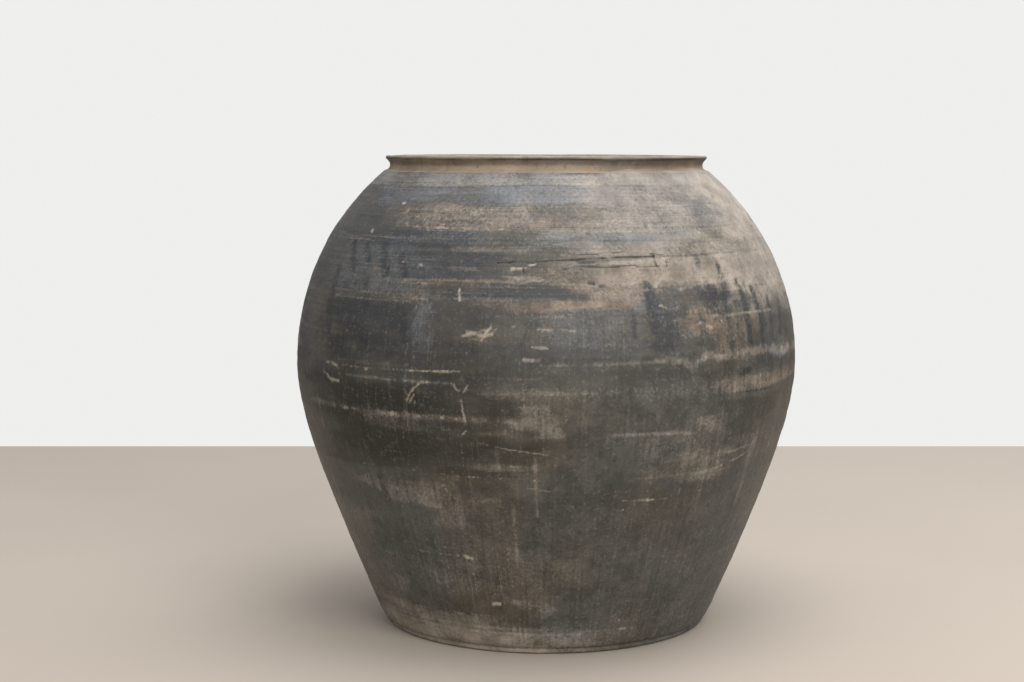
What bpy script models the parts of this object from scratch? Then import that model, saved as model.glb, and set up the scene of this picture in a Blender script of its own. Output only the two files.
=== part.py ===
"""Big wide-mouthed jar of smoke-blackened clay, as the members it is hand built from.

A flat base slab carries nine courses of clay, each luted to the one below along a slanted
seam, then a short neck collar and a flared lip. Nothing on the jar moves: firing makes one
rigid body of all its members. Metres, +Z up, origin at the middle of the underside.
"""
import math

import bmesh
import bpy

# Driving dimensions
HEIGHT = 0.463              # from the ground to the top of the lip
BELLY_RADIUS = 0.248        # widest outer radius
BELLY_HEIGHT = 0.2625       # height of the widest circle
DOME_RISE = 0.2435          # vertical half-axis of the elliptical dome above the belly
CONE_FOOT_RADIUS = 0.1618   # radius at which the tapering lower wall reaches the ground
CONE_SOFTNESS = 0.080       # height over which the belly bends into the straight taper
WALL_AT_FOOT = 0.0120       # wall thickness, square to the surface
WALL_AT_NECK = 0.0085

BASE_THICKNESS = 0.015
BASE_RADIUS = 0.1610        # upright edge of the base slab, the jar's foot
BASE_EDGE_HEIGHT = 0.0065   # part of the slab's edge that shows under the first course
BASE_EDGE_ROUND = 0.0025    # rounding where the foot meets the ground
BASE_SEAT_WIDTH = 0.0085    # slanted seat on the slab's edge, which the first course straddles
FOOT_TUCK = 0.0030          # the wall draws in this much just above the foot
FOOT_TUCK_HEIGHT = 0.020
INNER_CORNER_ROUND = 0.014  # clay smeared into the corner between wall and base inside

NECK_RADIUS = 0.1550        # outer radius of the near-upright neck
NECK_FOOT = 0.4480          # heights of the neck's lower and upper edge
NECK_TOP = 0.4545
LIP_RADIUS = 0.1590         # tip of the flared lip
LIP_TIP_LOW = 0.4590        # the tip's rounded edge runs from here up to the flat top
LIP_FLAT_INNER = 0.1485     # flat ring on top of the lip
LIP_FLAT_OUTER = 0.1560

SEAM_GAP = 0.00035          # clearance kept along every seam
SCARF_DROP = 0.006          # a seam lies this much lower on the inside than on the outside
FACETS = 64                 # steps round the axis
ROUND_STEPS = 3             # steps round a small rounded edge
SMOOTH_ANGLE = math.radians(32)

# Courses from the ground up: name, height of the outer seam at its top, fired colour
COURSES = (
    ("foot_course", 0.040, (0.090, 0.080, 0.066)),
    ("lower_wall_course", 0.085, (0.066, 0.062, 0.055)),
    ("flare_course", 0.135, (0.062, 0.060, 0.054)),
    ("lower_belly_course", 0.185, (0.060, 0.058, 0.053)),
    ("belly_course", 0.240, (0.064, 0.060, 0.054)),
    ("upper_belly_course", 0.295, (0.070, 0.067, 0.063)),
    ("lower_shoulder_course", 0.350, (0.078, 0.073, 0.068)),
    ("shoulder_course", 0.402, (0.105, 0.094, 0.086)),
    ("upper_shoulder_course", NECK_FOOT, (0.170, 0.155, 0.143)),
)
OUTER_STEPS = 3             # profile steps up the outer face of a course
INNER_STEPS = 3
BASE_COLOUR = (0.085, 0.076, 0.064)
NECK_COLOUR = (0.260, 0.200, 0.150)
LIP_COLOUR = (0.150, 0.125, 0.098)
CLAY_ROUGHNESS = 0.55
LIP_ROUGHNESS = 0.65


def clear_scene():
    for thing in list(bpy.data.objects):
        bpy.data.objects.remove(thing, do_unlink=True)


def clay(name, colour, roughness):
    """Fired clay: a matt to satin body with no metal in it."""
    material = bpy.data.materials.new(name)
    material.use_nodes = True
    shader = material.node_tree.nodes["Principled BSDF"]
    shader.inputs["Base Color"].default_value = (*colour, 1.0)
    shader.inputs["Roughness"].default_value = roughness
    shader.inputs["Metallic"].default_value = 0.0
    return material


def cone_scale():
    """Factor that makes the lower wall's hyperbola reach the ground at its stated radius."""
    run = BELLY_HEIGHT / CONE_SOFTNESS
    return (BELLY_RADIUS - CONE_FOOT_RADIUS) / (math.hypot(1.0, run) - 1.0)


def outer_radius(z):
    """Outer radius of the jar's wall: an ellipse above the belly, a hyperbola below it."""
    if z >= BELLY_HEIGHT:
        rise = (z - BELLY_HEIGHT) / DOME_RISE
        return BELLY_RADIUS * math.sqrt(1.0 - rise * rise)
    run = (BELLY_HEIGHT - z) / CONE_SOFTNESS
    radius = BELLY_RADIUS - cone_scale() * (math.hypot(1.0, run) - 1.0)
    tuck = max(0.0, (FOOT_TUCK_HEIGHT - z) / FOOT_TUCK_HEIGHT)
    return radius - FOOT_TUCK * tuck * tuck


def outer_normal(z):
    """Unit normal of the outer wall, as its radial and vertical parts."""
    reach = 0.0005
    slope = (outer_radius(z + reach) - outer_radius(z - reach)) / (2.0 * reach)
    length = math.hypot(1.0, slope)
    return 1.0 / length, -slope / length


def wall_thickness(z):
    share = z / HEIGHT
    return WALL_AT_FOOT + (WALL_AT_NECK - WALL_AT_FOOT) * share


def outer_point(z):
    return outer_radius(z), z


def inner_point(z):
    """Point of the inner face that lies square to the outer face at height z."""
    out, up = outer_normal(z)
    wall = wall_thickness(z)
    return outer_radius(z) - wall * out, z - wall * up


def between(low, high, steps):
    """Evenly spaced values from low to high, both ends included."""
    return [low + (high - low) * i / steps for i in range(steps + 1)]


def quarter_round(centre, radius, start_degrees, steps):
    """Points of a quarter circle in the profile plane, turning anticlockwise."""
    points = []
    for turn in between(start_degrees, start_degrees + 90.0, steps):
        angle = math.radians(turn)
        points.append((centre[0] + radius * math.cos(angle), centre[1] + radius * math.sin(angle)))
    return points


def seam_heights(seam):
    """Outer-face heights just under and just over a seam, half its gap to each side."""
    out, _ = outer_normal(seam)
    half = 0.5 * SEAM_GAP * out
    return seam - half, seam + half


def course_profile(low_seam, high_seam):
    """Closed outline of one course: up the outer face, over the seam, down the inner face."""
    bottom = seam_heights(low_seam)[1]
    top = seam_heights(high_seam)[0]
    outside = [outer_point(z) for z in between(bottom, top, OUTER_STEPS)]
    inside = [inner_point(z) for z in between(top - SCARF_DROP, bottom - SCARF_DROP, INNER_STEPS)]
    return outside + inside


def base_profile():
    """Outline of the base slab from the ground to its top, left open at the axis."""
    edge = quarter_round(
        (BASE_RADIUS - BASE_EDGE_ROUND, BASE_EDGE_ROUND), BASE_EDGE_ROUND, -90.0, ROUND_STEPS
    )
    return edge + [(BASE_RADIUS, BASE_EDGE_HEIGHT), (BASE_RADIUS - BASE_SEAT_WIDTH, BASE_THICKNESS)]


def foot_profile(high_seam):
    """First course: it straddles the slab's slanted seat and is smeared out over its top."""
    bottom = BASE_EDGE_HEIGHT + SEAM_GAP
    top = seam_heights(high_seam)[0]
    floor = BASE_THICKNESS + SEAM_GAP
    seat_top = BASE_RADIUS - BASE_SEAT_WIDTH
    outside = [outer_point(z) for z in between(bottom, top, OUTER_STEPS)]
    corner_high = inner_point(floor + INNER_CORNER_ROUND)
    centre = (corner_high[0] - INNER_CORNER_ROUND, floor + INNER_CORNER_ROUND)
    corner = quarter_round(centre, INNER_CORNER_ROUND, -90.0, ROUND_STEPS)
    corner[0] = (corner[0][0], floor)
    return outside + [inner_point(top - SCARF_DROP)] + corner[::-1] + [(seat_top, floor)]


def collar_profile():
    """Neck collar: an upright band whose inside runs on from the dome's inner face."""
    dome_edge = seam_heights(NECK_FOOT)[1]
    top = NECK_TOP - 0.5 * SEAM_GAP
    inner_low = inner_point(dome_edge - SCARF_DROP)
    inner_radius = NECK_RADIUS - WALL_AT_NECK
    return [
        outer_point(dome_edge),
        (NECK_RADIUS, dome_edge + 0.002),
        (NECK_RADIUS, top),
        (inner_radius, top),
        (inner_radius, NECK_FOOT - 0.001),
        inner_low,
    ]


def lip_profile():
    """Flared lip: slanted underside, thin rounded tip, flat top and eased inner edge."""
    bottom = NECK_TOP + 0.5 * SEAM_GAP
    tip_round = (HEIGHT - LIP_TIP_LOW) / 2.0
    inner_radius = NECK_RADIUS - WALL_AT_NECK
    return [
        (NECK_RADIUS, bottom),
        (LIP_RADIUS - 0.0004, LIP_TIP_LOW),
        (LIP_RADIUS, LIP_TIP_LOW + tip_round),
        (LIP_RADIUS - 0.0010, HEIGHT - 0.0006),
        (LIP_FLAT_OUTER, HEIGHT),
        (LIP_FLAT_INNER, HEIGHT),
        (inner_radius, HEIGHT - 0.003),
        (inner_radius, bottom),
    ]


def turned(name, profile, colour, roughness, parent, capped=False):
    """Turn a profile about the axis; a capped one ends in flat discs instead of closing up."""
    origin_z = min(z for _, z in profile)
    shape = bmesh.new()
    rings = []
    for radius, z in profile:
        ring = []
        for step in range(FACETS):
            angle = math.tau * step / FACETS
            place = (radius * math.cos(angle), radius * math.sin(angle), z - origin_z)
            ring.append(shape.verts.new(place))
        rings.append(ring)
    pairs = list(zip(rings, rings[1:]))
    if capped:
        shape.faces.new(rings[0])
        shape.faces.new(rings[-1])
    else:
        pairs.append((rings[-1], rings[0]))
    for low, high in pairs:
        for step in range(FACETS):
            after = (step + 1) % FACETS
            shape.faces.new((low[step], low[after], high[after], high[step]))
    bmesh.ops.recalc_face_normals(shape, faces=shape.faces)
    mesh = bpy.data.meshes.new(name)
    shape.to_mesh(mesh)
    shape.free()
    mesh.shade_smooth()
    mesh.set_sharp_from_angle(angle=SMOOTH_ANGLE)
    mesh.materials.append(clay(name + "_clay", colour, roughness))
    member = bpy.data.objects.new(name, mesh)
    member.location = (0.0, 0.0, origin_z)
    member.parent = parent
    bpy.context.scene.collection.objects.link(member)
    return member


def build_courses(axis):
    """Stack the courses, each from the seam below it to its own top seam."""
    low_seam = BASE_EDGE_HEIGHT
    for index, (name, high_seam, colour) in enumerate(COURSES):
        profile = foot_profile(high_seam) if index == 0 else course_profile(low_seam, high_seam)
        turned(name, profile, colour, CLAY_ROUGHNESS, axis)
        low_seam = high_seam


def build_jar():
    axis = bpy.data.objects.new("jar_axis", None)
    bpy.context.scene.collection.objects.link(axis)
    turned("base_slab", base_profile(), BASE_COLOUR, CLAY_ROUGHNESS, axis, capped=True)
    build_courses(axis)
    turned("neck_collar", collar_profile(), NECK_COLOUR, CLAY_ROUGHNESS, axis)
    turned("rim_lip", lip_profile(), LIP_COLOUR, LIP_ROUGHNESS, axis)


clear_scene()
build_jar()
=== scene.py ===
"""Looks of the smoke-blackened clay jar: its real, hand-worked surface round the CAD members.

One meridian runs from the middle of the underside, up the outside, over the lip and down the
inside to the middle of the floor. It is turned about the axis as one fine grid, marked, and cut
at the CAD seams. So each member of the jar is a closed piece of its own, and the scraped
surface runs on from one to the next. Azimuth 0 is the front (-Y) and +90 the right (+X).
"""
import math
import random

import bpy
import numpy as np
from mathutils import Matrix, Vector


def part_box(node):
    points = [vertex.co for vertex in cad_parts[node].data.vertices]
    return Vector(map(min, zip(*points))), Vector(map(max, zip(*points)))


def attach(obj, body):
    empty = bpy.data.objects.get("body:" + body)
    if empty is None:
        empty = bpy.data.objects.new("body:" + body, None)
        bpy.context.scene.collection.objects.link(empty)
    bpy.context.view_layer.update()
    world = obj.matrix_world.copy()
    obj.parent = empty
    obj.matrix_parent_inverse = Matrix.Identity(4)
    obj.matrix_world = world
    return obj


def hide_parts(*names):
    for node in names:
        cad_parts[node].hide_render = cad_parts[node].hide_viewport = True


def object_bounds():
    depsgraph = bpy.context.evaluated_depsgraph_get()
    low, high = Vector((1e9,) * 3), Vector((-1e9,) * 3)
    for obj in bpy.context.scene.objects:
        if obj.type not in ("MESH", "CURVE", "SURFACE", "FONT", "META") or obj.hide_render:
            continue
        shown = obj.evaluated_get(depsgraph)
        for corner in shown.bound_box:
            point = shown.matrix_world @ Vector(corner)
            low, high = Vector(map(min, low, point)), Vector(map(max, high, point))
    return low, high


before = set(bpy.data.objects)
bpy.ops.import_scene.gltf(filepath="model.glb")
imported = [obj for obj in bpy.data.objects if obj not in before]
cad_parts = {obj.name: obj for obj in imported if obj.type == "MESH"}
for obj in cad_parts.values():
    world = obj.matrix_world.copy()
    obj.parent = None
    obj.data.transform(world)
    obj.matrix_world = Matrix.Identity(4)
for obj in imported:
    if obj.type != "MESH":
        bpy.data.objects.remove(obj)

cad_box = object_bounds()

MM = 0.001
COLUMNS = 720  # grid steps round the jar
FRONT_CROWDING = 0.42  # share by which the columns stand closer at the front
OUTER_STEP = 1.4 * MM  # grid steps along the meridian
LIP_STEP = 0.7 * MM
INNER_STEP = 6.0 * MM
FLAT_STEP = 9.0 * MM
POLE_RADIUS = 4.0 * MM

# Courses from the ground up, named after their CAD nodes
COURSES = (
    "foot_course", "lower_wall_course", "flare_course", "lower_belly_course", "belly_course",
    "upper_belly_course", "lower_shoulder_course", "shoulder_course", "upper_shoulder_course",
)

# The jar's form, as its CAD members have it
HEIGHT = cad_box[1][2]
BELLY_RADIUS = 0.248
BELLY_HEIGHT = 0.2625
DOME_RISE = 0.2435
CONE_FOOT_RADIUS = 0.1618
CONE_SOFTNESS = 0.080
WALL_AT_FOOT = 0.0120
WALL_AT_NECK = 0.0085
HEEL_RADIUS = 0.1606  # the slab's edge, scraped flush with the wall above it
BASE_EDGE_HEIGHT = 0.0065
BASE_EDGE_ROUND = 0.0024
BASE_THICKNESS = 0.015
SEAT_RADIUS = 0.1530
UNDERSIDE_HOLLOW = 0.0008
FOOT_TUCK = 0.0030
FOOT_TUCK_HEIGHT = 0.020
INNER_CORNER_ROUND = 0.014
NECK_RADIUS = 0.1550
NECK_FOOT = 0.4480
NECK_TOP = 0.4545
MOUTH_RADIUS = NECK_RADIUS - WALL_AT_NECK
SCARF_DROP = 0.006
SEAMS = [BASE_EDGE_HEIGHT] + [round(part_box(name)[1][2], 3) for name in COURSES]

# Points (radius, height) that the smooth sections of neck, lip and throat run through
NECK_SECTION = ((0.1585, 0.4489), (0.1566, 0.4498), (0.1555, 0.4512), (0.1550, 0.4530))
LIP_SECTION = (
    (0.1553, 0.4556), (0.1562, 0.4572), (0.1577, 0.4588), (0.1588, 0.4600), (0.1592, 0.4613),
    (0.1586, 0.4625), (0.1568, 0.4630), (0.1530, 0.4628), (0.1496, 0.4625), (0.1477, 0.4615),
    (0.1468, 0.4595), (0.1465, 0.4570),
)
THROAT_SECTION = ((0.1465, 0.4520), (0.1470, 0.4475), (0.1500, 0.4435), (0.1555, 0.4400))

# Worn and smoked areas of the outer wall, with some painted sheen and shade among them, laid one over
# the other from the first row to the last.
# Each row: coat, azimuth from and to (degrees), height from and to (mm), strength (%), and the width
# over which its upper and lower edges fade (mm; SOFT_EDGE where none is given).
AREAS = (
    # pale ring under the neck: worn tan, and a pale film that is partly a painted sheen
    ("haze", -180, 180, 437, 449, 50), ("tan", -180, 180, 436, 449, 35),
    # blue-grey smoke ring on the upper shoulder, browned in the middle and worn tan on the right; its
    # pale film is partly a painted sheen
    ("soot", -62, 22, 418, 437, 55), ("haze", -58, 20, 418, 436, 40),
    ("haze", -14, 18, 419, 437, 28, 5), ("tan", 10, 96, 418, 449, 56, 6),
    ("haze", 14, 110, 396, 448, 42, 8), ("rust", -8, 26, 400, 436, 22, 8),
    ("soot", -84, -42, 384, 440, 52, 14),
    # brown wiped ring
    ("tan", -40, 0, 396, 417, 24), ("rust", -44, 4, 396, 417, 35),
    ("haze", -40, -2, 398, 416, 25), ("tan", 2, 78, 396, 418, 52),
    # dark blue ring and its mottled right half, with a pale film that is partly a painted sheen
    ("soot", -48, -12, 380, 396, 80), ("haze", -46, -8, 384, 396, 22),
    ("haze", 0, 40, 380, 396, 50), ("tan", 28, 80, 384, 397, 48),
    ("tan", -20, -4, 376, 384, 36), ("tan", 2, 62, 374, 386, 52),
    ("rust", 2, 34, 375, 386, 30),
    # dark ring left, cream ring right
    ("soot", -40, -8, 354, 378, 75), ("haze", -34, -12, 356, 374, 15),
    ("tan", 2, 44, 378, 396, 25, 8), ("tan", 9, 82, 352, 373, 86),
    ("rust", -4, 24, 352, 366, 40, 6), ("haze", 20, 70, 356, 371, 25),
    ("tan", 20, 78, 344, 358, 70, 10), ("tan", 54, 116, 318, 444, 76, 40),
    ("haze", 62, 110, 336, 438, 25, 30), ("tan", -25, -12, 363, 367, 34),
    ("tan", -10, 0, 354, 359, 55), ("soot", -20, 6, 336, 352, 70),
    ("haze", -24, -4, 336, 350, 15), ("rust", -12, 14, 327, 336, 55, 5),
    ("rust", 5, 19, 332, 352, 50, 8), ("tan", 6, 19, 336, 352, 42, 8),
    ("haze", 12, 22, 322, 350, 30, 10), ("haze", -6, 22, 296, 332, 22, 10),
    ("rust", -34, -28, 334, 353, 30, 5),
    # left of the middle: smoke-dark belly
    ("soot", -56, -10, 258, 336, 50, 12), ("soot", -66, -8, 178, 262, 60, 12),
    # painted shade: the first row below (-96 to -50 degrees) darkens the belly's left edge, the side
    # turned from the light, over the smoke
    ("soot", -96, -50, 120, 300, 18, 25), ("soot", -84, -42, 340, 392, 54, 14),
    ("soot", 52, 96, 50, 180, 25, 20), ("soot", -56, -26, 192, 258, 92, 14),
    ("soot", -54, -32, 286, 334, 62, 14), ("tan", 84, 150, 300, 380, 30, 30),
    ("haze", -66, -33, 340, 384, 27, 12), ("soot", -30, 30, 262, 300, 25),
    # right: dark cloud with run marks, and the brown-red patches that show through it
    ("soot", 20, 50, 292, 349, 36, 14), ("soot", 46, 76, 290, 336, 28, 20),
    ("haze", 21, 35, 300, 346, 20, 12), ("rust", 34, 42, 288, 328, 50, 16),
    ("rust", 42, 55, 290, 328, 42, 18), ("tan", 31, 35, 298, 320, 28, 8),
    ("tan", 38, 43, 289, 306, 20, 8), ("tan", 44, 49, 322, 350, 36, 10),
    ("soot", 26, 76, 265, 280, 36), ("tan", -14, 8, 251, 262, 17, 5),
    ("tan", 6, 38, 250, 261, 10, 5), ("tan", 34, 80, 250, 263, 31),
    ("rust", 38, 80, 251, 262, 33), ("haze", 20, 60, 251, 262, 12),
    ("tan", 36, 48, 216, 232, 33, 6), ("tan", -38, -23, 216, 233, 24, 6),
    ("soot", 38, 58, 288, 304, 26, 10), ("tan", -11, -2, 214, 248, 37, 8),
    ("tan", 20, 42, 192, 222, 20, 12), ("tan", 15, 28, 216, 219, 35),
    ("soot", 44, 62, 195, 246, 50, 12), ("tan", 24, 42, 168, 198, 40, 10),
    ("tan", 46, 66, 180, 208, 25, 8),
    # cone: smudges
    ("tan", -44, -25, 146, 168, 35, 7), ("haze", -42, -28, 150, 164, 12, 7),
    ("tan", -30, -14, 128, 158, 25, 10), ("soot", -18, 4, 194, 213, 30, 8),
    ("tan", -16, 0, 186, 192, 32), ("soot", 4, 40, 96, 172, 32, 16),
    ("tan", -7, 3, 37, 58, 34, 7), ("tan", -80, -48, 30, 135, 30, 16),
    ("tan", 56, 84, 50, 165, 18, 16), ("haze", -38, -8, 60, 140, 14, 16),
    ("tan", -34, 10, 55, 108, 16, 14), ("haze", 4, 56, 30, 150, 12, 24),
    ("soot", 6, 48, 28, 80, 20, 12),
    # foot, browned and scuffed on the left
    ("tan", -180, 180, 7, 36, 16, 8), ("tan", -70, -6, -8, 36, 36, 14),
    ("haze", -72, 14, -8, 28, 33, 12), ("tan", -68, -8, -8, 19, 80, 9),
    ("tan", -12, 16, -8, 19, 40, 9), ("scuff", -62, 6, -8, 17, 34, 8),
    ("haze", 12, 80, -8, 24, 10, 12),
    # neck, scuffed on the left and smoked on the right
    ("tan", -80, -12, 449, 460, 60, 3), ("scuff", -75, -18, 449, 459, 34, 3),
    ("soot", 16, 80, 449, 462, 40, 3),
)

# Lines and marks drawn over the areas. Each row: coat, strength (%), width (mm), depth of the mark in
# the clay (mm), then the points it runs through (azimuth in degrees, height in mm).
MARKS = (
    # run marks of smoke down the right shoulder
    ("soot", 70, 13, 0.3, (21.8, 346), (22.6, 330), (23.2, 298)),
    ("soot", 95, 7, 0.45, (22, 346), (22.6, 325), (22.9, 312)),
    ("soot", 50, 22, 0.05, (25.8, 322), (26, 300)),
    ("soot", 70, 17, 0.15, (36.8, 345), (37.5, 336)),
    ("soot", 66, 12, 0.1, (39.8, 342), (39.5, 328)),
    ("soot", 72, 8, 0.15, (37.2, 373), (37, 369)),
    ("soot", 48, 6, 0.05, (39.5, 374), (41, 369)),
    ("soot", 92, 6, 0.35, (43.2, 364), (43.4, 356)),
    ("soot", 78, 8, 0.25, (43.4, 352), (42.6, 338), (41.8, 328)),
    ("soot", 95, 7, 0.4, (48.4, 350), (49.2, 330), (49.2, 294)),
    ("soot", 95, 7, 0.4, (53.4, 341), (54.4, 318), (54.2, 292)),
    ("soot", 88, 6, 0.3, (59.8, 330), (59.2, 308), (58.6, 296)),
    ("soot", 80, 6, 0.25, (66, 324), (64.4, 306), (63.5, 298)),
    ("soot", 78, 5, 0.2, (17.6, 328), (18, 306)),
    ("soot", 74, 7, 0.2, (34.6, 322), (34.9, 296)),
    ("soot", 74, 7, 0.2, (42.4, 324), (42.6, 290)),
    # finger dents on the left shoulder, sunk into the clay and darkened with painted shade in their
    # hollows, and the smoke runs below them
    ("soot", 98, 8, 0.95, (-56.5, 380), (-55, 370), (-52.5, 358)),
    ("soot", 90, 6, 0.65, (-50.5, 380), (-49, 373), (-47.5, 367)),
    ("soot", 98, 8, 0.95, (-44, 379), (-42.5, 370), (-40.5, 358)),
    ("soot", 95, 7, 0.75, (-36.8, 371), (-35.8, 364), (-34.6, 356)),
    ("soot", 80, 9, 0.6, (-59, 356), (-58, 334), (-56.5, 302)),
    ("haze", 32, 24, 0, (-28.6, 334), (-27.6, 304)),
    ("soot", 50, 8, 0.3, (-53, 344), (-52, 330), (-51, 316)),
    ("soot", 45, 7, 0.25, (-46, 350), (-45, 338), (-44, 326)),
    ("soot", 70, 6, 0.3, (-33, 320), (-32.5, 310), (-31.5, 298)),
    ("soot", 60, 7, 0.2, (-42.5, 172), (-42.5, 146)),
    # wiped lines, tan or rusty, and some of pale film that is partly a painted sheen
    ("rust", 60, 3, 0, (-30, 353), (-18, 353.5), (-5, 353)),
    ("tan", 45, 2, 0, (-40, 353), (-22, 353.5), (-5, 353)),
    ("tan", 30, 1.8, 0, (-38, 349.5), (-20, 350), (-8, 350)),
    ("tan", 32, 2.2, 0, (-58, 340), (-44, 340), (-30, 339)),
    ("rust", 45, 2.4, 0, (-38, 334.5), (-32, 334), (-28, 335)),
    ("tan", 30, 1.8, 0, (-56, 335), (-44, 334), (-32, 334.5)),
    ("tan", 28, 1.8, 0, (-24, 343), (-14, 343.5)),
    ("tan", 44, 7.5, 0.15, (23, 285), (28, 283), (31, 277), (33, 281), (35, 287), (39, 284)),
    ("tan", 50, 7.5, 0.15, (39, 284), (45, 284), (52, 286), (58, 284), (66, 281), (77, 281)),
    ("rust", 30, 7, 0, (40, 284), (52, 286), (58, 284), (66, 281), (77, 281)),
    ("haze", 58, 9, 0.2, (58, 284), (62, 280), (66, 280), (69, 281)),
    ("tan", 20, 3, 0, (-14, 256), (2, 257), (14, 256.5)),
    ("tan", 32, 5, 0.1, (-66, 233.5), (-44, 233), (-20, 232.5), (-8, 232)),
    ("tan", 35, 2.4, 0.05, (-48, 264), (-30, 264.5), (-20, 264)),
    ("tan", 35, 3.2, 0, (-2, 282), (12, 282), (24, 283)),
    ("haze", 45, 1.8, 0, (15, 217), (27, 217)),
    ("tan", 55, 2.2, 0, (36, 320), (48, 320.5), (60, 320)),
    # dark line and chips at the edge of the right belly's band
    ("soot", 80, 2.4, 0.3, (45, 249), (52, 248), (58, 248)),
    ("soot", 95, 5, 0.2, (46.5, 267.5), (48.5, 267.5)),
    ("soot", 80, 4, 0.1, (44.5, 266), (46, 266)),
    # cracks and pits in the smoke-glazed skin
    ("crack", 75, 1.8, 0.25, (-12, 369), (-8, 370.5), (-5, 369.5), (0, 371.5), (5, 372)),
    ("crack", 80, 2, 0.24, (5, 372), (9, 373.5), (13, 373.5), (17, 374.3), (21, 374), (25, 374.6)),
    ("crack", 66, 1.7, 0.18, (25, 374), (25.1, 367)),
    ("crack", 66, 1.7, 0.18, (28, 371), (28.1, 366)),
    ("crack", 68, 1.8, 0.2, (3, 364), (6, 366.5), (10, 366.2), (13, 365.5), (20, 367.5)),
    ("crack", 60, 2.6, 0.3, (6, 370), (8, 369.5), (10, 370.5)),
    ("crack", 62, 1.6, 0.18, (20, 366), (28, 366)),
    ("crack", 65, 1.4, 0.2, (5, 376), (12, 377.5), (18, 379)),
    ("crack", 60, 1.2, 0.2, (24, 377), (28, 375)),
    ("crack", 80, 3.6, 0.2, (8.6, 352), (9.6, 352)),
    ("crack", 80, 3.6, 0.2, (11, 350), (12, 350)),
    ("crack", 75, 2.2, 0.15, (-6, 366), (-6, 362)),
    ("crack", 70, 2, 0.15, (38, 127), (38.3, 127)),
    ("crack", 70, 2, 0.15, (24.5, 184), (24.8, 184)),
    # small worn spots, and the turning lines round the foot
    ("tan", 90, 2.2, 0.1, (23, 23), (25, 23)), ("tan", 80, 3, 0.1, (-5.5, 286.5), (-2.2, 286.5)),
    ("tan", 70, 2.6, 0.1, (-2.5, 313), (0.2, 312.5)),
    ("tan", 70, 2.2, 0.1, (2.2, 313), (5, 311.5)),
    ("tan", 55, 2.4, 0.2, (-75, 22), (-20, 21), (10, 20.5)),
    ("tan", 35, 1.8, 0.1, (-70, 27), (-30, 26.5), (0, 26)),
)

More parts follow.
